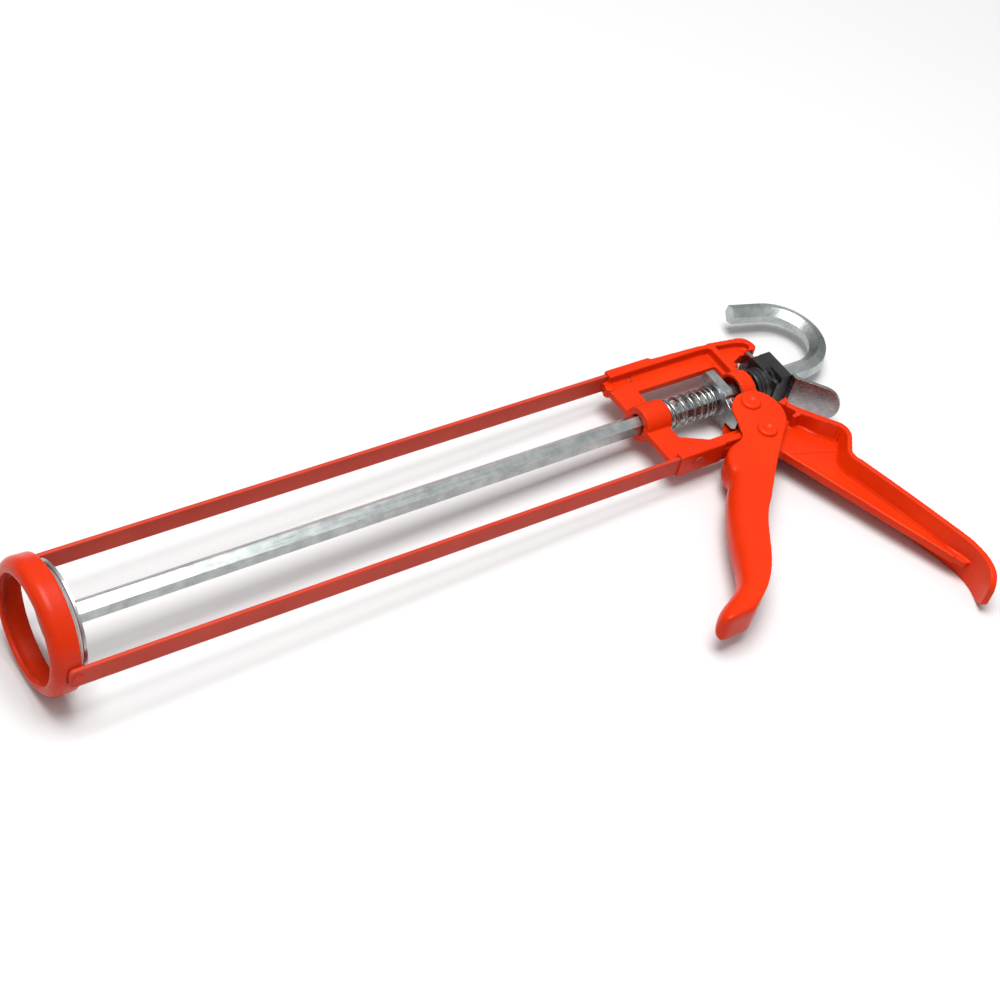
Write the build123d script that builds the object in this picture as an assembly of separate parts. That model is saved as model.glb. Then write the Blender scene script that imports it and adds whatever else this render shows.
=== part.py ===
"""Skeleton caulking gun: ring and two flat rails, die-cast body with handle, hex push rod with hook.

Millimetres. The gun lies on its right side. X runs back along the barrel axis, Y away from the
handle, Z up. The origin is on the barrel axis at the rear edge of the front ring.
"""

import math
import os

from build123d import *

os.makedirs("parts", exist_ok=True)

# Front ring and rails
RING_LENGTH = 11.0
RING_RADIUS = 28.4
SEAT_RADIUS = 25.7
NOSE_RADIUS = 22.5
RAIL_INNER = 27.9
RAIL_THICKNESS = 2.0
RAIL_WIDTH = 9.8
RAIL_FRONT = -6.0
RAIL_REAR = 312.0

# Push rod
ROD_ACROSS_FLATS = 8.2
ROD_TURN = 21.0
ROD_BORE = 4.80
ROD_FRONT = 5.8
HOOK_START = 387.2
HOOK_RADIUS = 20.9
HOOK_SWEEP = 164.0
HOOK_TAIL = 16.5
PISTON_RADIUS = 24.0

# Casting
CASTING_FRONT = 285.6
WEB_HALF = 1.7
FLANGE_HALF = 5.9
HEAD_HALF = 6.0
HUB_HALF = 6.4
HANDLE_HALF = 10.0
FRONT_BOSS_RADIUS = 8.3
REAR_BOSS_RADIUS = 9.5
TIP = (372.4, -152.6)
TIP_DIRECTION = (-0.52, -0.854)

# Trigger
PIVOT = (335.4, -32.7)
DRIVE_PIN = (339.3, -15.2)
CHEEK_OUTER = 8.5
CHEEK_INNER = 6.9
BEND_RADIUS = 7.4
INNER_BEND = 5.6
TOE_RADIUS = 1.8
PIVOT_RADIUS = 3.0
PIN_RADIUS = 2.4
ROLLER_RADIUS = 3.0
PIN_CLEARANCE = 0.05

# Drive plates and springs
PLATE_FRONT = 331.0
PLATE_THICKNESS = 2.5
WASHER_THICKNESS = 1.2
SPRING_FRONT = 300.4
SPRING_MEAN = 6.4
SPRING_WIRE = 0.75

# Release lever and brake block
LEVER_FRONT = 361.4
LEVER_SHEET = 1.8
TAB_HALF = 9.6
BLOCK_FRONT = 358.6
BLOCK_REAR = 370.0
BLOCK_HALF = 9.4
BLOCK_LOW = -8.4


def along_x(x0, x1, radius):
    """Cylinder on the barrel axis."""
    return Pos((x0 + x1) / 2, 0, 0) * Rot(0, 90, 0) * Cylinder(radius, x1 - x0)


def cross_pin(place, radius, half):
    """Cylinder parallel to Z."""
    return Pos(place[0], place[1], 0) * Cylinder(radius, 2 * half)


def box(x0, x1, y0, y1, z0, z1):
    centre = Pos((x0 + x1) / 2, (y0 + y1) / 2, (z0 + z1) / 2)
    return centre * Box(x1 - x0, y1 - y0, z1 - z0)


def slab(face, half):
    """A side outline, thickened equally to both sides of the gun's middle plane."""
    return extrude(Pos(0, 0, -half) * face, amount=2 * half)


def outline(*points):
    return make_face(Polyline(*points, close=True))


def rounded_side(points, half):
    """Side outline through smooth runs: each item is a list of points, joined end to end."""
    edges = []
    for run in points:
        if len(run) == 2:
            edges.append(Line(run[0], run[1]))
        else:
            edges.append(Spline(*run))
    return slab(make_face(edges), half)


def across(points, x0, x1):
    """An outline given as (y, z) points, thickened from x0 to x1."""
    loop = Polyline(*[(x0, y, z) for y, z in points], close=True)
    return extrude(make_face(loop), amount=x1 - x0, dir=(1, 0, 0))


def save(shape, name):
    shape.label = name
    export_step(shape, f"parts/{name}.step")


def front_ring():
    half = RAIL_WIDTH / 2 + 0.1
    profile = make_face(
        [
            Line((0, SEAT_RADIUS), (0, RING_RADIUS - 0.3)),
            Line((0, RING_RADIUS - 0.3), (-6.2, RING_RADIUS)),
            ThreePointArc((-6.2, RING_RADIUS), (-9.9, 26.7), (-RING_LENGTH, 23.9)),
            ThreePointArc((-RING_LENGTH, 23.9), (-10.6, 22.8), (-9.6, NOSE_RADIUS)),
            Line((-9.6, NOSE_RADIUS), (-8.8, NOSE_RADIUS + 0.2)),
            ThreePointArc((-8.8, NOSE_RADIUS + 0.2), (-8.2, 24.9), (-6.6, SEAT_RADIUS)),
            Line((-6.6, SEAT_RADIUS), (0, SEAT_RADIUS)),
        ]
    )
    ring = revolve(profile, Axis.X)
    for side in (1, -1):
        y0, y1 = sorted((side * RAIL_INNER, side * 40))
        ring -= box(RAIL_FRONT - 0.2, 1, y0, y1, -half, half)
        ring -= Pos(-2.6, side * 27, 0) * Rot(90, 0, 0) * Cylinder(1.6, 10)
    return ring


def rail(side):
    """Flat bar with rounded corners at its front end."""
    y0, y1 = sorted((side * RAIL_INNER, side * (RAIL_INNER + RAIL_THICKNESS)))
    bar = box(RAIL_FRONT, RAIL_REAR, y0, y1, -RAIL_WIDTH / 2, RAIL_WIDTH / 2)
    corners = bar.edges().filter_by(Axis.Y).group_by(Axis.X)[0]
    bar = fillet(corners, 2.4)
    for x, radius in ((-2.6, 1.6), (299.0, 2.0)):
        bar -= Pos(x, side * 28, 0) * Rot(90, 0, 0) * Cylinder(radius, 12)
    return bar


def radial_rivet(x, radius, y0, y1, head_radius, head_height, side):
    """Shank along Y with a low domed head on its outer end."""
    shank = Cylinder(radius, y1 - y0)
    head = Cylinder(head_radius, head_height)
    head = fillet(head.edges().group_by(Axis.Z)[-1], head_height * 0.7)
    whole = Pos(0, 0, (y0 + y1) / 2) * shank + Pos(0, 0, y1 + head_height / 2) * head
    return Pos(x, 0, 0) * Rot(-90 * side, 0, 0) * whole


def ring_rivets():
    top = RAIL_INNER + RAIL_THICKNESS
    return [radial_rivet(-2.6, 1.6, 25.9, top, 2.4, 0.5, side) for side in (1, -1)]


def rail_rivets():
    return [radial_rivet(299.0, 2.0, 23.6, 30.7, 3.0, 0.6, side) for side in (1, -1)]


def handle_back():
    """Outer line of the wide back flange, from the top of the grip to its tip."""
    return [
        [(354.8, -22.4), (358.6, -28.4)],
        [(358.6, -28.4), (371.2, -43.8)],
        [(371.2, -43.8), (372.2, -47.6), (370.2, -53.4)],
        [(370.2, -53.4), (364.2, -60.6)],
        [(364.2, -60.6), (363.6, -63.2), (364.8, -67.0)],
        [
            (364.8, -67.0),
            (369.6, -84.2),
            (378.2, -117.4),
            (380.8, -133.5),
            (378.8, -143.6),
            (373.6, -152.2),
        ],
    ]


def flange_plan():
    """Outline of the back flange seen square to its tip: straight sides and a half-round end."""
    size = math.hypot(*TIP_DIRECTION)
    along = (TIP_DIRECTION[0] / size, TIP_DIRECTION[1] / size, 0)
    normal = (-along[1], along[0], 0)
    plane = Plane(origin=(*TIP, 0), x_dir=along, z_dir=normal)
    half = HANDLE_HALF
    plan = make_face(
        [
            Line((-200, -half), (-half, -half)),
            ThreePointArc((-half, -half), (0, 0), (-half, half)),
            Line((-half, half), (-200, half)),
            Line((-200, half), (-200, -half)),
        ]
    )
    return extrude(plane * plan, amount=90, both=True)


def handle():
    """T-section grip: a tapering web with a thin front bead and a wide back flange with a rounded tip."""
    inner = [
        [(371.2, -150.4), (376.0, -142.4), (377.9, -133.5), (375.5, -118.0), (367.1, -84.8), (362.2, -67.6)],
        [(362.2, -67.6), (361.2, -63.2), (361.8, -59.6)],
        [(361.8, -59.6), (367.9, -52.4)],
        [(367.9, -52.4), (369.5, -47.8), (368.9, -45.4)],
        [(368.9, -45.4), (356.6, -31.4)],
        [(356.6, -31.4), (353.1, -24.6)],
        [(353.1, -24.6), (354.8, -22.4)],
    ]
    flange = rounded_side(handle_back() + [[(373.6, -152.2), (371.2, -150.4)]] + inner, HANDLE_HALF)
    flange = flange & flange_plan()
    web = rounded_side(
        [
            [(346, -18), (351.6, -24.0)],
            [(351.6, -24.0), (370.9, -44.6)],
            [(370.9, -44.6), (369.3, -53.0)],
            [(369.3, -53.0), (362.9, -60.8)],
            [(362.9, -60.8), (362.7, -64.0), (364.0, -68.0)],
            [(364.0, -68.0), (368.4, -84.6), (376.8, -117.6), (379.4, -133.5)],
            [(379.4, -133.5), (375.2, -132.2)],
            [(375.2, -132.2), (366.5, -112.6), (354.7, -82.5)],
            [(354.7, -82.5), (339.3, -43.4)],
            [(339.3, -43.4), (330, -34)],
            [(330, -34), (346, -18)],
        ],
        WEB_HALF,
    )
    bead = outline(
        (335.6, -34.2),
        (354.7, -82.5),
        (372.3, -127.4),
        (374.0, -126.6),
        (357.0, -82.6),
        (338.0, -34.2),
    )
    bead = slab(bead, 2.2)
    panel = outline((338, -42), (351, -25), (370.6, -46), (368.6, -54.2), (341.6, -45.4))
    panel = slab(panel, WEB_HALF + 0.7)
    return flange + web + bead + panel


def frame_plate():
    """Thin web around the spring window, with top and bottom flanges and the rear head."""
    web = slab(
        outline(
            (CASTING_FRONT, -29.0),
            (CASTING_FRONT, 29.0),
            (313.0, 29.0),
            (350.0, 26.5),
            (350.0, -12.0),
            (354.4, -19.9),
            (357.4, -28.0),
            (352.0, -34.0),
            (338.0, -40.0),
            (325.0, -31.0),
        ),
        WEB_HALF,
    )
    upper = slab(
        outline(
            (287.8, 30.7),
            (313.0, 30.7),
            (314.2, 29.4),
            (341.0, 28.2),
            (352.0, 26.9),
            (352.0, 24.2),
            (341.0, 25.6),
            (287.8, 25.8),
        ),
        FLANGE_HALF,
    )
    lower = slab(
        outline(
            (287.8, -30.7),
            (313.0, -30.7),
            (314.2, -30.0),
            (332.0, -30.6),
            (332.0, -27.0),
            (287.8, -26.4),
        ),
        FLANGE_HALF,
    )
    head = rounded_side(
        [
            [(346.6, -9), (346.6, 28.0)],
            [(346.6, 28.0), (361.0, 25.9)],
            [(361.0, 25.9), (367.2, 23.8), (369.4, 19.4)],
            [(369.4, 19.4), (368.8, 16.6), (366.4, 15.6)],
            [(366.4, 15.6), (361.0, 17.3)],
            [(361.0, 17.3), (354.4, 14.6)],
            [(354.4, 14.6), (355.9, 12.4)],
            [(355.9, 12.4), (352.2, 11.2)],
            [(352.2, 11.2), (350.0, 8.0)],
            [(350.0, 8.0), (350.0, -9)],
            [(350.0, -9), (346.6, -9)],
        ],
        HEAD_HALF,
    )
    gate = Pos(286.4, 23.4, 0) * Cylinder(2.2, 2 * WEB_HALF + 1.6)
    tooth = slab(outline((352.8, -19.6), (358.4, -18.4), (357.7, -21.8), (354.2, -23.4)), 8.4)
    branch = slab(outline((357.4, -29.2), (357.2, -31.6), (352.7, -31.8), (352.5, -29.8)), 9.2)
    return web + upper + lower + head + gate + tooth + branch


def body_casting():
    body = frame_plate() + handle()
    body += along_x(CASTING_FRONT + 0.4, 300.0, FRONT_BOSS_RADIUS)
    body += along_x(342.0, 350.0, REAR_BOSS_RADIUS)
    body += cross_pin(PIVOT, 8.0, HUB_HALF)
    body -= slab(
        outline(
            (298.4, 16.6),
            (345.0, 16.6),
            (345.0, -19.6),
            (342.4, -22.4),
            (311.4, -22.2),
            (298.4, -15.2),
        ),
        WEB_HALF + 0.01,
    ) - along_x(297.0, 300.0, FRONT_BOSS_RADIUS) - along_x(342.0, 346.0, REAR_BOSS_RADIUS)
    body -= along_x(340.0, 347.4, 7.8)
    body -= along_x(280.0, 360.0, ROD_BORE)
    body -= cross_pin(PIVOT, PIVOT_RADIUS + PIN_CLEARANCE, 12)
    for side in (1, -1):
        y0, y1 = sorted((side * RAIL_INNER, side * (RAIL_INNER + RAIL_THICKNESS)))
        body -= box(280, RAIL_REAR, y0, y1, -RAIL_WIDTH / 2, RAIL_WIDTH / 2)
        body -= Pos(299.0, side * 28, 0) * Rot(90, 0, 0) * Cylinder(2.0, 8.8)
    return body


def pull_rod():
    """Hexagonal bar with a round front spigot and its rear end bent into a hook."""
    end = math.radians(HOOK_SWEEP - 90)
    tangent = (-math.sin(end), math.cos(end))
    arc_end = (HOOK_START + HOOK_RADIUS * math.cos(end), HOOK_RADIUS * (1 + math.sin(end)))
    tail = (arc_end[0] + HOOK_TAIL * tangent[0], arc_end[1] + HOOK_TAIL * tangent[1])
    path = Wire(
        [
            Line((ROD_FRONT, 0), (HOOK_START, 0)),
            ThreePointArc((HOOK_START, 0), (HOOK_START + HOOK_RADIUS, HOOK_RADIUS), arc_end),
            Line(arc_end, tail),
        ]
    )
    start = Plane(origin=(ROD_FRONT, 0, 0), x_dir=(0, 1, 0), z_dir=(1, 0, 0))
    radius = ROD_ACROSS_FLATS / math.sqrt(3)
    section = start * Rot(0, 0, ROD_TURN) * RegularPolygon(radius, 6)
    bar = sweep(section, path=path)
    return bar + along_x(0.2, ROD_FRONT, 2.5)


def piston_disc():
    disc = along_x(2.6, 4.2, PISTON_RADIUS)
    disc = fillet(disc.edges().group_by(Axis.X)[0], 0.9)
    return disc - along_x(0, 6, 2.5)


def piston_backing():
    return along_x(4.2, ROD_FRONT, 10.0) - along_x(4, 6, 2.5)


def piston_nut():
    return along_x(0.6, 2.6, 4.6) - along_x(0, 3, 2.5)


def coil(x0, x1, mean, wire, turns):
    """Round wire wound about the barrel axis."""
    height = x1 - x0 - 2 * wire
    helix = Helix(pitch=height / turns, height=height, radius=mean)
    section = Plane(origin=helix @ 0, z_dir=helix % 0) * Circle(wire)
    spring = sweep(section, path=helix, is_frenet=True)
    return Pos(x0 + wire, 0, 0) * Rot(0, 90, 0) * spring


def drive_plate(x0):
    """Grip plate: wide top round the rod and a narrow tail down to the trigger's pin."""
    half = [
        (10.6, 7.6),
        (9.6, 8.7),
        (-4.9, 8.7),
        (-6.6, 7.6),
        (-7.4, 6.2),
        (-11.4, 4.4),
        (-16.6, 4.4),
        (-18.6, 2.6),
    ]
    ring = half + [(y, -z) for y, z in reversed(half)]
    plate = across(ring, x0, x0 + PLATE_THICKNESS)
    return plate - along_x(x0 - 1, x0 + 4, ROD_BORE + 0.02)


def spring_washer():
    x0 = PLATE_FRONT - WASHER_THICKNESS
    return along_x(x0, PLATE_FRONT, 8.0) - along_x(x0 - 1, PLATE_FRONT + 1, 5.1)


def trigger_front():
    """Front line of the trigger from its knuckle down to the toe."""
    return [
        (309.4, -35.4),
        (308.4, -39.6),
        (304.8, -46.0),
        (298.4, -53.0),
        (286.6, -68.0),
        (277.6, -83.2),
        (271.6, -94.0),
        (265.6, -100.6),
        (257.0, -105.0),
        (249.6, -108.6),
    ]


def trigger():
    """Folded channel, open at the back, with two cheeks astride the casting and a solid toe."""
    side = [
        [(341.0, -8.2), (336.6, -8.4), (332.4, -10.6), (328.6, -14.6), (326.4, -20.0), (323.4, -27.4)],
        [(323.4, -27.4), (321.2, -31.2), (316.4, -33.6)],
        [(316.4, -33.6), (309.4, -35.4)],
        trigger_front(),
        [(249.6, -108.6), (244.8, -113.2)],
        [(244.8, -113.2), (247.4, -117.0)],
        [(247.4, -117.0), (262.0, -116.6)],
        [(262.0, -116.6), (268.4, -112.4)],
        [(268.4, -112.4), (278.2, -105.6), (287.6, -95.2), (298.6, -79.4), (309.4, -68.0)],
        [(309.4, -68.0), (330.6, -47.4), (346.4, -33.4)],
        [(346.4, -33.4), (351.4, -26.0), (352.0, -18.0), (348.4, -10.8), (341.0, -8.2)],
    ]
    solid = rounded_side(side, CHEEK_OUTER)
    bend = solid.edges().filter_by(lambda edge: 80 < edge.length < 200 and edge.center().X < 300)
    solid = fillet(bend, BEND_RADIUS)
    toe = solid.edges().filter_by(Axis.Z).filter_by(lambda edge: 240 < edge.center().X < 269)
    solid = fillet(toe, TOE_RADIUS)
    inner = [
        [(356.0, -4.0), (300.0, -4.0)],
        [(300.0, -4.0), (303.0, -30.0)],
        [(303.0, -30.0), (309.0, -37.4)],
        [
            (309.0, -37.4),
            (305.6, -47.0),
            (300.0, -53.8),
            (288.4, -69.0),
            (279.6, -84.0),
            (273.6, -94.6),
            (268.0, -101.0),
        ],
        [(268.0, -101.0), (276.0, -116.0)],
        [(276.0, -116.0), (362.0, -40.0)],
        [(362.0, -40.0), (356.0, -4.0)],
    ]
    hollow = rounded_side(inner, CHEEK_INNER)
    roots = hollow.edges().filter_by(lambda edge: 60 < edge.length < 100 and edge.center().X < 300)
    hollow = fillet(roots, INNER_BEND)
    shell = solid - hollow
    shell -= cross_pin(PIVOT, PIVOT_RADIUS, 12)
    shell -= cross_pin(DRIVE_PIN, PIN_RADIUS, 12)
    return shell


def trigger_rivet(place, radius):
    """Pin through both cheeks with a wide, dimpled head on each side."""
    rivet = cross_pin(place, radius, CHEEK_OUTER)
    for side in (1, -1):
        head = Cylinder(5.4, 1.6)
        head = fillet(head.edges().group_by(Axis.Z)[-1], 0.9)
        head -= Pos(0, 0, 1.6) * Sphere(1.9)
        turn = Rot(0, 0 if side > 0 else 180, 0)
        rivet += Pos(place[0], place[1], side * (CHEEK_OUTER + 0.8)) * turn * head
    return rivet


def drive_roller():
    sleeve = cross_pin(DRIVE_PIN, ROLLER_RADIUS, 6.4)
    return sleeve - cross_pin(DRIVE_PIN, PIN_RADIUS, 8)


def release_lever():
    """Folded strip: front leaf up under the casting's lip, rear leaf with a thumb tab."""
    x0, x1 = LEVER_FRONT, LEVER_FRONT + LEVER_SHEET
    x2, x3 = BLOCK_REAR + 0.2, BLOCK_REAR + 0.2 + LEVER_SHEET
    leaf = [(16.2, -7.0), (16.2, 5.4), (15.4, 6.4), (-8.6, 6.4), (-8.6, -11.4), (13.0, -11.4)]
    front = across(leaf, x0, x1)
    rear = across([(8.4, -11.4), (8.4, 5.4), (7.4, 6.4), (-11.0, 6.4), (-11.0, -11.4)], x2, x3)
    side = box(x0, x3, -8.6, 8.4, -11.4, -9.8)
    tab = outline((x2, -8.0), (x3, -8.0), (x3, -10.4), (388.4, -29.8), (387.0, -31.0), (x2, -11.2))
    tab = slab(tab, TAB_HALF)
    along = (16.4, -20.0)
    size = math.hypot(*along)
    frame = Plane(
        origin=(371.4, -11.6, 0),
        x_dir=(along[0] / size, along[1] / size, 0),
        z_dir=(-along[1] / size, along[0] / size, 0),
    )
    straight = 23.2 - TAB_HALF
    plan = make_face(
        [
            Line((-6, -TAB_HALF), (straight, -TAB_HALF)),
            ThreePointArc((straight, -TAB_HALF), (straight + TAB_HALF, 0), (straight, TAB_HALF)),
            Line((straight, TAB_HALF), (-6, TAB_HALF)),
            Line((-6, TAB_HALF), (-6, -TAB_HALF)),
        ]
    )
    tab = tab & extrude(frame * plan, amount=8, both=True)
    lever = front + side + rear + tab
    return lever - along_x(350, 376, ROD_BORE + 1.2)


def brake_block():
    """Moulded block in front of and behind the lever's leaf, with a ribbed round hub at its open corner."""
    low, high = BLOCK_LOW, BLOCK_HALF
    middle = LEVER_FRONT + LEVER_SHEET + 0.1
    rear = box(middle + 0.8, BLOCK_REAR, low, high, -BLOCK_HALF, BLOCK_HALF)
    rear = fillet(rear.edges().filter_by(Axis.X), 0.8)
    step = [(high, -6.0), (high, 8.6), (high - 0.8, 9.4), (0.4, 9.4), (-2.6, 6.0), (-2.6, -6.0)]
    shoulder = across(step, BLOCK_FRONT, middle + 1)
    block = rear + shoulder
    block += along_x(BLOCK_FRONT, middle + 1, 6.9)
    for x in (BLOCK_FRONT + 1.4, middle - 0.2):
        block += along_x(x - 0.7, x + 0.7, 8.3)
    block -= box(LEVER_FRONT - 0.1, middle, -12, 12, -12, 6.6)
    block += along_x(BLOCK_FRONT, middle + 1, 6.7) & box(350, 380, -12, 12, 6.6, 12)
    return block - along_x(350, 376, ROD_BORE + 1.2)


def build():
    save(front_ring(), "front_ring")
    save(rail(1), "rail_upper")
    save(rail(-1), "rail_lower")
    save(Compound(children=ring_rivets()), "ring_rivets")
    save(Compound(children=rail_rivets()), "rail_rivets")
    save(body_casting(), "body_casting")
    save(pull_rod(), "pull_rod")
    save(piston_disc(), "piston_disc")
    save(piston_backing(), "piston_backing")
    save(piston_nut(), "piston_nut")
    save(coil(SPRING_FRONT, PLATE_FRONT - WASHER_THICKNESS, SPRING_MEAN, SPRING_WIRE, 9), "drive_spring")
    save(spring_washer(), "spring_washer")
    save(drive_plate(PLATE_FRONT), "drive_plate_front")
    save(drive_plate(PLATE_FRONT + PLATE_THICKNESS), "drive_plate_rear")
    save(trigger(), "trigger")
    save(trigger_rivet(PIVOT, PIVOT_RADIUS), "pivot_rivet")
    save(trigger_rivet(DRIVE_PIN, PIN_RADIUS), "drive_pin")
    save(drive_roller(), "drive_roller")
    save(release_lever(), "release_lever")
    save(brake_block(), "brake_block")
    save(coil(350.2, BLOCK_FRONT - 0.1, 6.2, 0.6, 3.5), "release_spring")


build()
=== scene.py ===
"""Looks, light and camera for the skeleton caulking gun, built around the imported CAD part.

Metres, in the part's own frame: X runs back along the barrel, Y away from the handle, Z up out
of the gun's left side. The gun lies on its right side.
"""

import math

import bmesh
import bpy
import numpy as np
from mathutils import Matrix, Vector

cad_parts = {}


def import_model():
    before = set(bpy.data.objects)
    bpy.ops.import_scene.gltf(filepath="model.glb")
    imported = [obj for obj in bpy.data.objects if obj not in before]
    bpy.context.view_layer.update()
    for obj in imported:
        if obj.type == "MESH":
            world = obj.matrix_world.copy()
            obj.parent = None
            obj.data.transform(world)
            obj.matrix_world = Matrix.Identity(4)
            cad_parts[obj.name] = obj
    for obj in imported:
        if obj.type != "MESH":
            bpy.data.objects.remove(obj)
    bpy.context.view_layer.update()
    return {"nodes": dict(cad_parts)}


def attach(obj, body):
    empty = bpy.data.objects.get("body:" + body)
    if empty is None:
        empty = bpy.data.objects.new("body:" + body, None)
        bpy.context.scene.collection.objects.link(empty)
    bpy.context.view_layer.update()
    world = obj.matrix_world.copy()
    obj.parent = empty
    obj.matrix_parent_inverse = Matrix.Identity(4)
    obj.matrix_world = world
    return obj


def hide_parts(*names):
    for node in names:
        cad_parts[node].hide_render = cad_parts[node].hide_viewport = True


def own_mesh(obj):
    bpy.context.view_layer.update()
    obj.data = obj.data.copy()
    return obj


MM = 0.001

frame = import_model()
NODES = frame["nodes"]


# ---------------------------------------------------------------- node helpers

class Nodes:
    """A small builder for one material's node tree."""

    def __init__(self, name):
        self.material = bpy.data.materials.new(name)
        self.material.use_nodes = True
        self.tree = self.material.node_tree
        self.shader = self.tree.nodes["Principled BSDF"]
        self.place = self.tree.nodes.new("ShaderNodeTexCoord").outputs["Object"]

    def add(self, kind, **values):
        node = self.tree.nodes.new(kind)
        for key, value in values.items():
            setattr(node, key, value)
        return node

    def link(self, source, target):
        self.tree.links.new(source, target)

    def feed(self, socket, value):
        """Links a socket, or sets a plain value on it."""
        if isinstance(value, bpy.types.NodeSocket):
            self.link(value, socket)
        else:
            socket.default_value = value

    def scaled(self, scale):
        mapping = self.add("ShaderNodeMapping")
        mapping.inputs["Scale"].default_value = scale
        self.link(self.place, mapping.inputs["Vector"])
        return mapping.outputs["Vector"]

    def noise(self, scale, detail=2.0, rough=0.5, stretch=None):
        node = self.add("ShaderNodeTexNoise")
        node.inputs["Scale"].default_value = scale
        node.inputs["Detail"].default_value = detail
        node.inputs["Roughness"].default_value = rough
        self.link(self.scaled(stretch) if stretch else self.place, node.inputs["Vector"])
        return node.outputs["Fac"]

    def cells(self, scale):
        node = self.add("ShaderNodeTexVoronoi", feature="F1")
        node.inputs["Scale"].default_value = scale
        self.link(self.place, node.inputs["Vector"])
        return node.outputs["Distance"]

    def spread(self, value, low, high, to_low=0.0, to_high=1.0):
        node = self.add("ShaderNodeMapRange")
        node.inputs["From Min"].default_value = low
        node.inputs["From Max"].default_value = high
        node.inputs["To Min"].default_value = to_low
        node.inputs["To Max"].default_value = to_high
        self.link(value, node.inputs["Value"])
        return node.outputs["Result"]

    def math(self, operation, a, b):
        node = self.add("ShaderNodeMath", operation=operation)
        self.feed(node.inputs[0], a)
        self.feed(node.inputs[1], b)
        return node.outputs[0]

    def blend(self, factor, a, b):
        node = self.add("ShaderNodeMix", data_type="RGBA")
        self.feed(node.inputs["Factor"], factor)
        self.feed(node.inputs["A"], (*a, 1.0) if isinstance(a, tuple) else a)
        self.feed(node.inputs["B"], (*b, 1.0) if isinstance(b, tuple) else b)
        return node.outputs["Result"]

    def bump(self, height, strength, depth, normal=None):
        node = self.add("ShaderNodeBump")
        node.inputs["Strength"].default_value = strength
        node.inputs["Distance"].default_value = depth
        self.link(height, node.inputs["Height"])
        if normal is not None:
            self.link(normal, node.inputs["Normal"])
        return node.outputs["Normal"]

    def edges(self):
        """1 on convex edges, 0 on flats."""
        geometry = self.add("ShaderNodeNewGeometry")
        return self.spread(geometry.outputs["Pointiness"], 0.52, 0.62)

    def finish(self, color, roughness, normal=None, **sockets):
        self.feed(self.shader.inputs["Base Color"], color)
        self.feed(self.shader.inputs["Roughness"], roughness)
        if normal is not None:
            self.link(normal, self.shader.inputs["Normal"])
        for key, value in sockets.items():
            self.shader.inputs[key.replace("_", " ")].default_value = value
        return self.material


# ---------------------------------------------------------------- materials

def paint(name, body, shade, roughness, grain, peel):
    """Stoved paint: slow drift in tone, fine orange peel, dust specks and lightly rubbed edges."""
    n = Nodes(name)
    drift = n.spread(n.noise(26.0, 3.0, 0.55), 0.35, 0.68)
    fleck = n.spread(n.noise(grain, 2.0, 0.6), 0.55, 0.75)
    color = n.blend(drift, shade, body)
    color = n.blend(n.math("MULTIPLY", fleck, 0.16), color, shade)
    rubbed = n.math("MULTIPLY", n.edges(), n.spread(n.noise(140.0, 3.0, 0.6), 0.42, 0.62))
    worn = tuple(min(1.0, c * 1.05 + 0.06) for c in body)
    color = n.blend(n.math("MULTIPLY", rubbed, 0.22), color, worn)
    rough = n.spread(n.noise(90.0, 4.0, 0.6), 0.3, 0.7, roughness - 0.06, roughness + 0.08)
    skin = n.bump(n.noise(peel, 3.0, 0.55), 0.35, 0.00009)
    skin = n.bump(n.cells(2600.0), 0.16, 0.00004, skin)
    return n.finish(color, rough, skin, Specular_IOR_Level=0.14)


def zinc(name, light, dark, roughness, streaks):
    """Zinc plate: cloudy passivation, drawn streaks and a few dull specks."""
    n = Nodes(name)
    cloud = n.spread(n.noise(160.0, 4.0, 0.6), 0.36, 0.66)
    drawn = n.noise(1.0, 3.0, 0.6, stretch=streaks)
    color = n.blend(cloud, dark, light)
    color = n.blend(n.spread(drawn, 0.3, 0.75, 0.0, 0.35), color, dark)
    speck = n.spread(n.noise(1500.0, 2.0, 0.7), 0.66, 0.8)
    color = n.blend(n.math("MULTIPLY", speck, 0.4), color, tuple(0.55 * c for c in dark))
    rough = n.spread(drawn, 0.25, 0.8, roughness - 0.07, roughness + 0.12)
    skin = n.bump(drawn, 0.25, 0.00006)
    skin = n.bump(n.noise(900.0, 3.0, 0.6), 0.18, 0.00005, skin)
    return n.finish(color, rough, skin, Metallic=1.0)


def moulded(name, body, shade, roughness):
    """Moulded black plastic with a faint grain and lighter, scuffed edges."""
    n = Nodes(name)
    cloud = n.spread(n.noise(120.0, 3.0, 0.6), 0.35, 0.7)
    color = n.blend(cloud, shade, body)
    scuff = n.math("MULTIPLY", n.edges(), n.spread(n.noise(420.0, 3.0, 0.6), 0.4, 0.65))
    color = n.blend(n.math("MULTIPLY", scuff, 0.5), color, (0.10, 0.10, 0.11))
    rough = n.spread(n.noise(260.0, 3.0, 0.6), 0.3, 0.7, roughness - 0.06, roughness + 0.1)
    skin = n.bump(n.noise(1400.0, 3.0, 0.6), 0.3, 0.00005)
    return n.finish(color, rough, skin, Specular_IOR_Level=0.5)


CAST_PAINT = paint("cast_paint", (0.68, 0.032, 0.001), (0.61, 0.024, 0.001), 0.31, 420.0, 620.0)
RAIL_PAINT = paint("rail_paint", (0.54, 0.050, 0.026), (0.47, 0.040, 0.020), 0.42, 500.0, 700.0)
RING_PAINT = paint("ring_paint", (0.62, 0.030, 0.004), (0.54, 0.024, 0.003), 0.27, 420.0, 560.0)

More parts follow.
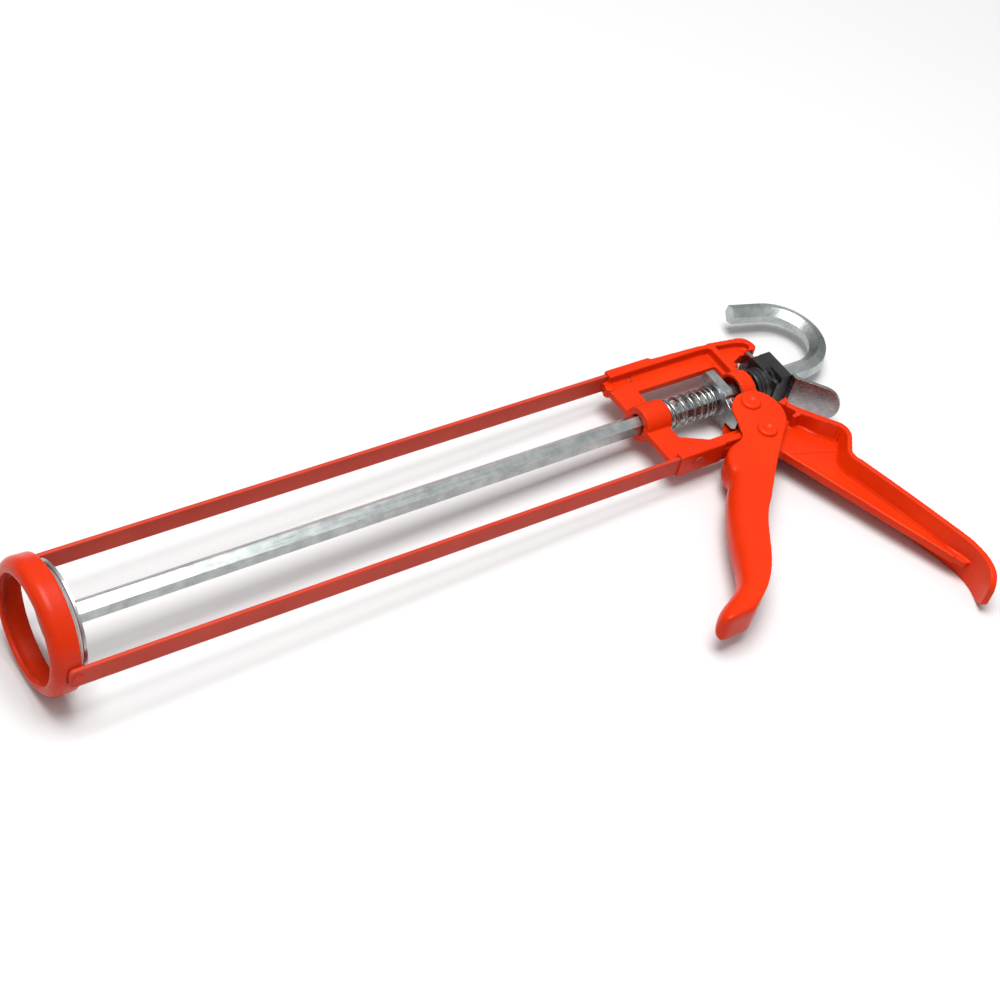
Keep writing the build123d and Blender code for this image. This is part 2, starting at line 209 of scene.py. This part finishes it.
# Scale of the drawn streaks on each axis: small along the metal's grain, large across it.
ALONG_X = (60.0, 900.0, 900.0)
ALONG_Y = (900.0, 60.0, 900.0)
ALONG_Z = (900.0, 900.0, 60.0)
ROD_ZINC = zinc("rod_zinc", (0.50, 0.53, 0.52), (0.34, 0.37, 0.37), 0.28, ALONG_X)
DISC_ZINC = zinc("disc_zinc", (0.60, 0.62, 0.62), (0.40, 0.42, 0.42), 0.34, (500.0, 500.0, 500.0))
PLATE_ZINC = zinc("plate_zinc", (0.58, 0.60, 0.60), (0.38, 0.40, 0.41), 0.30, ALONG_Z)
LEVER_ZINC = zinc("lever_zinc", (0.44, 0.42, 0.42), (0.30, 0.29, 0.30), 0.26, ALONG_Y)
WIRE_STEEL = zinc("wire_steel", (0.52, 0.52, 0.51), (0.30, 0.30, 0.30), 0.26, (400.0, 400.0, 400.0))
BLACK = moulded("moulded_black", (0.008, 0.008, 0.009), (0.014, 0.014, 0.015), 0.34)


# ---------------------------------------------------------------- pieces from the frame

def dress(obj, material):
    obj.data.materials.clear()
    obj.data.materials.append(material)


def smooth_by_angle(obj, degrees):
    obj.data.shade_smooth()
    obj.data.set_sharp_from_angle(angle=math.radians(degrees))


def applied(obj):
    """Puts the result of the modifiers into the object's own mesh."""
    graph = bpy.context.evaluated_depsgraph_get()
    mesh = bpy.data.meshes.new_from_object(obj.evaluated_get(graph))
    obj.modifiers.clear()
    obj.data = mesh


def placed(name, build):
    """A new object in the scene that takes its mesh from a bmesh."""
    mesh = bpy.data.meshes.new(name)
    build.to_mesh(mesh)
    build.free()
    obj = bpy.data.objects.new(name, mesh)
    bpy.context.scene.collection.objects.link(obj)
    return obj


def finished(obj, material, nodes, body):
    """Gives a piece its material, the nodes that it stands for and its body."""
    dress(obj, material)
    if nodes:
        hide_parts(*nodes)
    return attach(obj, body)


def copy_of(name, nodes):
    """One new object that holds the meshes of these CAD nodes, with their seams closed."""
    build = bmesh.new()
    for node in nodes:
        build.from_mesh(NODES[node].data)
    bmesh.ops.remove_doubles(build, verts=build.verts, dist=0.000001)
    return placed(name, build)


def add_box(obj, low, high):
    """Adds a closed box, given by two corners in millimetres, to a mesh."""
    build = bmesh.new()
    build.from_mesh(obj.data)
    centre = [(a + b) / 2 * MM for a, b in zip(low, high)]
    size = [(b - a) * MM for a, b in zip(low, high)]
    place = Matrix.Translation(centre) @ Matrix.Diagonal((*size, 1.0))
    bmesh.ops.create_cube(build, size=1.0, matrix=place)
    build.to_mesh(obj.data)
    build.free()


def prism(name, outline, low, high):
    """A closed slab between two heights, from an outline in millimetres."""
    build = bmesh.new()
    rings = [[build.verts.new((x * MM, y * MM, z * MM)) for x, y in outline] for z in (low, high)]
    count = len(outline)
    build.faces.new(rings[0][::-1])
    build.faces.new(rings[1])
    for k in range(count):
        nxt = (k + 1) % count
        build.faces.new((rings[0][k], rings[0][nxt], rings[1][nxt], rings[1][k]))
    bmesh.ops.recalc_face_normals(build, faces=build.faces)
    return placed(name, build)


def add_prism(obj, outline, half):
    """Adds a closed slab about the gun's middle plane to a mesh."""
    slab = prism("slab", outline, -half, half)
    build = bmesh.new()
    build.from_mesh(obj.data)
    build.from_mesh(slab.data)
    build.to_mesh(obj.data)
    build.free()
    bpy.data.objects.remove(slab)


def cut_pockets(obj, outline, floor_height, top):
    """Sinks a pocket of this outline into both sides of a casting, down to its web."""
    for low, high in ((floor_height, top), (-top, -floor_height)):
        cutter = prism("cutter", outline, low, high)
        cut = obj.modifiers.new("pocket", "BOOLEAN")
        cut.operation = "DIFFERENCE"
        cut.solver = "EXACT"
        cut.object = cutter
        applied(obj)
        bpy.data.objects.remove(cutter)


def relax_near(obj, centre, reach, passes):
    """Rounds a knuckle: smooths the mesh fully inside a circle and fades out over its reach."""
    mesh = obj.data
    co = np.empty(len(mesh.vertices) * 3)
    mesh.vertices.foreach_get("co", co)
    away = np.linalg.norm(co.reshape(-1, 3)[:, :2] - np.array(centre) * MM, axis=1)
    weight = np.clip(2.0 - 2.0 * away / (reach * MM), 0, 1)
    group = obj.vertex_groups.new(name="knuckle")
    for index in np.nonzero(weight)[0]:
        group.add([int(index)], float(weight[index]), "REPLACE")
    relax = obj.modifiers.new("knuckle", "SMOOTH")
    relax.factor = 0.5
    relax.iterations = passes
    relax.vertex_group = group.name
    applied(obj)
    obj.vertex_groups.clear()


def turned_ring(build, radius, height, turn, sides):
    """One ring of a turned piece, or its single point where the radius is 0."""
    if radius == 0:
        return [build.verts.new(turn @ Vector((0, 0, height * MM)))]
    ring = []
    for k in range(sides):
        angle = 2 * math.pi * k / sides
        spot = Vector((radius * MM * math.cos(angle), radius * MM * math.sin(angle), height * MM))
        ring.append(build.verts.new(turn @ spot))
    return ring


def turned(name, profile, turn, sides, body, material, nodes=()):
    """A turned piece: (radius, height) points in millimetres swept about an axis.

    A profile that starts on the axis also ends there. Any other is closed back to its start.
    """
    build = bmesh.new()
    rings = [turned_ring(build, radius, height, turn, sides) for radius, height in profile]
    if len(rings[0]) > 1:
        rings.append(rings[0])
    for first, second in zip(rings, rings[1:]):
        for k in range(sides):
            beside = (k + 1) % sides
            corners = [
                first[k % len(first)],
                first[beside % len(first)],
                second[beside % len(second)],
                second[k % len(second)],
            ]
            build.faces.new(list(dict.fromkeys(corners)))
    bmesh.ops.recalc_face_normals(build, faces=build.faces)
    obj = placed(name, build)
    smooth_by_angle(obj, 50.0)
    return finished(obj, material, nodes, body)


def cast_soft(name, nodes, voxel, passes, body, material, pocket=None, filler=None):
    """A casting or pressing with its corners and roots softened: remeshed evenly, then relaxed.

    A pocket is first sunk into both sides, or a filler slab added, where one is given.
    """
    obj = copy_of(name, nodes)
    if pocket:
        cut_pockets(obj, *pocket)
    if filler:
        add_prism(obj, *filler)
    remesh = obj.modifiers.new("even", "REMESH")
    remesh.mode = "VOXEL"
    remesh.voxel_size = voxel
    remesh.adaptivity = 0.0
    relax = obj.modifiers.new("relax", "SMOOTH")
    relax.factor = 0.5
    relax.iterations = passes
    applied(obj)
    obj.data.shade_smooth()
    return finished(obj, material, nodes, body)


def bevelled(name, nodes, width, body, material, segments, extra=()):
    """Sharp-edged parts: the CAD shape, and any extra boxes, with their corners broken."""
    obj = copy_of(name, nodes)
    for low, high in extra:
        add_box(obj, low, high)
    bevel = obj.modifiers.new("corners", "BEVEL")
    bevel.width = width
    bevel.segments = segments
    bevel.limit_method = "ANGLE"
    bevel.angle_limit = math.radians(32.0)
    applied(obj)
    obj.data.shade_flat()
    return finished(obj, material, nodes, body)


def thicken_flange_root(obj):
    """Cast draft: the inner face of the grip's back flange slopes from a thick root to a thin rim."""
    inner = np.array(FLANGE_INNER) * MM
    count = len(obj.data.vertices)
    co = np.empty(count * 3)
    obj.data.vertices.foreach_get("co", co)
    co = co.reshape(-1, 3)
    best = np.full(count, 1e9)
    shift = np.zeros((count, 2))
    start, end = inner[:-1], inner[1:]
    for k, (a, b) in enumerate(zip(start, end)):
        along = b - a
        size = np.linalg.norm(along)
        along = along / size
        normal = np.array((along[1], -along[0]))
        if normal[0] > 0:
            normal = -normal
        t = np.clip((co[:, :2] - a) @ along, 0, size)
        away = np.linalg.norm(co[:, :2] - (a + t[:, None] * along), axis=1)
        near = away < best
        best[near] = away[near]
        shift[near] = normal
    y = co[:, 1] / MM
    z = np.abs(co[:, 2]) / MM
    slope = np.clip((FLANGE_RIM - z) / (FLANGE_RIM - FLANGE_ROOT), 0, 1)
    fade = np.clip((133.0 + y) / 14.0, 0, 1) * np.clip((-34.0 - y) / 5.0, 0, 1)
    on_inner_face = np.clip(1.6 - best / (0.9 * MM), 0, 1)
    amount = FLANGE_DRAFT * MM * slope * fade * on_inner_face
    co[:, :2] += shift * amount[:, None]
    obj.data.vertices.foreach_set("co", co.ravel())
    obj.data.update()


def tube(name, path, radius, sides):
    """Round wire along a list of points, with its ends closed."""
    path = np.array(path)
    forward = np.gradient(path, axis=0)
    forward /= np.linalg.norm(forward, axis=1)[:, None]
    out = path * np.array((0.0, 1.0, 1.0))
    out -= (out * forward).sum(1)[:, None] * forward
    out /= np.linalg.norm(out, axis=1)[:, None]
    side = np.cross(forward, out)
    turn = np.linspace(0, 2 * math.pi, sides, endpoint=False)
    rings = path[:, None] + radius * (
        np.cos(turn)[None, :, None] * out[:, None] + np.sin(turn)[None, :, None] * side[:, None]
    )
    points = rings.reshape(-1, 3)
    faces = []
    for i in range(len(path) - 1):
        for k in range(sides):
            a, b = i * sides + k, i * sides + (k + 1) % sides
            faces.append((a, b, b + sides, a + sides))
    last = (len(path) - 1) * sides
    faces.append(tuple(range(sides))[::-1])
    faces.append(tuple(range(last, last + sides)))
    mesh = bpy.data.meshes.new(name)
    mesh.from_pydata(points.tolist(), [], faces)
    mesh.update()
    obj = bpy.data.objects.new(name, mesh)
    bpy.context.scene.collection.objects.link(obj)
    smooth_by_angle(obj, 60.0)
    return obj


def spring(name, node, turns_at, radius, wire, sway, start_turn):
    """A wound spring whose turns sit at these places along the barrel, each a little off centre."""
    turns = np.linspace(0, len(turns_at) - 1, 48 * (len(turns_at) - 1) + 1)
    x = np.interp(turns, range(len(turns_at)), turns_at)
    kernel = np.ones(25) / 25
    x = np.convolve(np.pad(x, 12, mode="edge"), kernel, mode="valid")
    angle = 2 * math.pi * (turns + start_turn)
    drift_y = sway * np.sin(1.9 * turns + 0.6)
    drift_z = sway * np.sin(2.6 * turns + 2.1)
    path = np.stack([x, drift_y + radius * np.cos(angle), drift_z + radius * np.sin(angle)], 1) * MM
    obj = tube(name, path, wire * MM, 12)
    finished(obj, WIRE_STEEL, [node], "frame")
    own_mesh(obj)


VOXEL = 0.0004
SHEET_VOXEL = 0.0004
RAIL_VOXEL = 0.0005

# Outlines and places in millimetres, in the part's frame.
PIVOT = (335.4, -32.7)
DRIVE_PIN = (339.3, -15.2)
HEAD_POCKET = (
    (349.6, 9.0),
    (349.6, 24.8),
    (360.5, 23.2),
    (365.2, 21.4),
    (366.6, 19.3),
    (365.2, 17.6),
    (361.0, 16.0),
    (354.4, 10.0),
)
POCKET_FLOOR = 2.8
ABOVE_CASTING = 8.0
FLANGE_INNER = (
    (357.5, -33.0),
    (368.9, -45.4),
    (369.5, -47.8),
    (367.9, -52.4),
    (361.8, -59.6),
    (361.2, -63.2),
    (362.2, -67.6),
    (367.1, -84.8),
    (375.5, -118.0),
    (377.9, -133.5),
)
FLANGE_RIM = 9.6
FLANGE_ROOT = 1.7
FLANGE_DRAFT = 2.3
KNUCKLE = (
    (319.5, -31.4),
    (314.5, -32.4),
    (311.2, -34.4),
    (308.7, -36.9),
    (306.9, -39.6),
    (305.6, -42.6),
    (304.6, -45.8),
    (307.5, -46.0),
    (310.5, -42.0),
    (314.0, -38.0),
    (318.0, -36.5),
    (322.0, -33.5),
)
KNUCKLE_HALF = 7.0
KNUCKLE_CENTRE = (311.0, -39.0)
TOE_CENTRE = (253.0, -113.0)
SLOT_COVER = ((361.2, -9.0, -6.0), (363.4, -6.0, 6.7))
CHEEK_FACE = 8.5


def orange_castings():
    pocket = (HEAD_POCKET, POCKET_FLOOR, ABOVE_CASTING)
    casting = cast_soft("casting", ["body_casting"], VOXEL, 3, "frame", CAST_PAINT, pocket)
    thicken_flange_root(casting)
    cast_soft("ring", ["front_ring"], VOXEL, 2, "frame", RING_PAINT)


def trigger_shell():
    filler = (KNUCKLE, KNUCKLE_HALF)
    shell = cast_soft(
        "trigger_shell",
        ["trigger"],
        SHEET_VOXEL,
        3,
        "trigger",
        CAST_PAINT,
        filler=filler,
    )
    relax_near(shell, KNUCKLE_CENTRE, 18.0, 200)
    relax_near(shell, TOE_CENTRE, 15.0, 260)


def trigger_rivet(node, place, shank):
    """A rivet through both cheeks, with a domed rim and a small raised centre on each head."""
    head = [
        (0, 9.15),
        (0.9, 9.1),
        (1.5, 9.25),
        (2.2, 9.75),
        (3.0, 10.05),
        (3.9, 10.0),
        (4.5, 9.65),
        (4.85, 9.0),
        (4.85, CHEEK_FACE),
    ]
    pin = [(shank, CHEEK_FACE), (shank, -CHEEK_FACE)]
    profile = head + pin + [(radius, -height) for radius, height in reversed(head)]
    spot = Matrix.Translation((place[0] * MM, place[1] * MM, 0))
    turned(f"{node}_head", profile, spot, 40, "trigger", CAST_PAINT, [node])


def block_hub():
    """Ribbed sleeve in front of the block, round the small spring."""
    bore, groove, rib = 7.7, 8.0, 8.4
    front, back = 352.6, 359.0
    profile = [(bore, front), (8.2, front), (rib, 352.8), (rib, 353.6)]
    for x in (353.9, 356.1):
        profile += [(groove, x), (groove, x + 0.8), (rib, x + 1.1), (rib, x + 1.9)]
    profile[-1] = (rib, back)
    profile.append((bore, back))
    along_barrel = Matrix.Rotation(math.pi / 2, 4, "Y")
    turned("block_hub", profile, along_barrel, 48, "release", BLACK)


def strip_and_block():
    bevelled("lever", ["release_lever"], 0.0003, "release", LEVER_ZINC, 2)
    bevelled("block", ["brake_block"], 0.0004, "release", BLACK, 3, [SLOT_COVER])


orange_castings()
trigger_shell()
for which in ("upper", "lower"):
    cast_soft(f"bar_{which}", [f"rail_{which}"], RAIL_VOXEL, 1, "frame", RAIL_PAINT)
strip_and_block()
block_hub()
trigger_rivet("pivot_rivet", PIVOT, 3.0)
trigger_rivet("drive_pin", DRIVE_PIN, 2.4)
bevelled("plate_front", ["drive_plate_front"], 0.0003, "drive", PLATE_ZINC, 2)
bevelled("plate_rear", ["drive_plate_rear"], 0.0003, "drive", PLATE_ZINC, 2)
spring(
    "main_spring",
    "drive_spring",
    (301.3, 302.9, 308.2, 313.8, 318.4, 322.0, 325.0, 327.2, 328.9),
    radius=6.3,
    wire=0.75,
    sway=0.22,
    start_turn=0.1,
)
spring(
    "small_spring",
    "release_spring",
    (350.9, 352.3, 354.6, 356.7, 357.8),
    radius=5.9,
    wire=0.6,
    sway=0.1,
    start_turn=0.3,
)

for node, material in (
    ("ring_rivets", RING_PAINT),
    ("rail_rivets", RAIL_PAINT),
    ("drive_roller", WIRE_STEEL),
    ("pull_rod", ROD_ZINC),
    ("piston_disc", DISC_ZINC),
    ("piston_backing", DISC_ZINC),
    ("piston_nut", DISC_ZINC),
    ("spring_washer", PLATE_ZINC),
):
    dress(NODES[node], material)


# ---------------------------------------------------------------- stage, light and camera

def lowest_offset(slope_x, slope_y):
    """Height at the origin of the highest plane with these slopes that has the whole gun above it."""
    lowest = 1e9
    for node in NODES.values():
        points = np.array([v.co for v in node.data.vertices])
        lowest = min(lowest, float((points[:, 2] - slope_x * points[:, 0] - slope_y * points[:, 1]).min()))
    return lowest


def floor():
    """Plain pale floor, tilted to where the gun rests on its ring, lever and grip."""
    slope_x, slope_y = 0.0446, -0.0088
    offset = lowest_offset(slope_x, slope_y) - 0.00005
    build = bmesh.new()
    corners = [(-6, -6), (6, -6), (6, 6), (-6, 6)]
    build.faces.new([build.verts.new((x, y, offset + slope_x * x + slope_y * y)) for x, y in corners])
    obj = placed("floor", build)
    n = Nodes("floor_paper")
    tone = n.spread(n.noise(3.0, 2.0, 0.5), 0.3, 0.7, 0.0, 1.0)
    color = n.blend(tone, (0.67, 0.67, 0.67), (0.68, 0.68, 0.68))
    dress(obj, n.finish(color, 0.9, None, Specular_IOR_Level=0.1))


def area_light(name, place, target, size, power):
    data = bpy.data.lights.new(name, "AREA")
    data.shape = "RECTANGLE"
    data.size = size
    data.size_y = size
    data.energy = power
    obj = bpy.data.objects.new(name, data)
    bpy.context.scene.collection.objects.link(obj)
    obj.location = place
    aim = Vector(target) - Vector(place)
    obj.rotation_mode = "QUATERNION"
    obj.rotation_quaternion = aim.to_track_quat("-Z", "Y")


def world():
    """Even studio dome, brighter overhead than at the horizon."""
    made = bpy.data.worlds.new("studio")
    made.use_nodes = True
    tree = made.node_tree
    background = tree.nodes["Background"]
    coordinates = tree.nodes.new("ShaderNodeTexCoord")
    split = tree.nodes.new("ShaderNodeSeparateXYZ")
    height = tree.nodes.new("ShaderNodeMapRange")
    height.inputs["From Min"].default_value = 0.0
    height.inputs["From Max"].default_value = 0.9
    height.inputs["To Min"].default_value = 0.05
    height.inputs["To Max"].default_value = 0.75
    tree.links.new(coordinates.outputs["Generated"], split.inputs["Vector"])
    tree.links.new(split.outputs["Z"], height.inputs["Value"])
    tree.links.new(height.outputs["Result"], background.inputs["Strength"])
    background.inputs["Color"].default_value = (1.0, 1.0, 1.0, 1.0)
    bpy.context.scene.world = made


def camera():
    right = Vector((0.808256, -0.551366, 0.206684))
    down = Vector((-0.301847, -0.689345, -0.658553))
    ahead = Vector((0.505580, 0.469893, -0.723595))
    turn = Matrix((right, -down, -ahead)).transposed().to_4x4()
    data = bpy.data.cameras.new("camera")
    data.lens = 71.43
    data.sensor_width = 36.0
    data.shift_x = -0.0383
    data.shift_y = 0.0791
    data.clip_start = 0.05
    data.clip_end = 50.0
    obj = bpy.data.objects.new("camera", data)
    bpy.context.scene.collection.objects.link(obj)
    obj.matrix_world = Matrix.Translation((-0.227124, -0.447260, 0.596737)) @ turn
    bpy.context.scene.camera = obj


floor()
world()
area_light("overhead", (0.05, 0.0, 1.4), (0.20, -0.02, 0.0), 0.8, 24.0)
camera()
bpy.context.scene.view_settings.view_transform = "Standard"
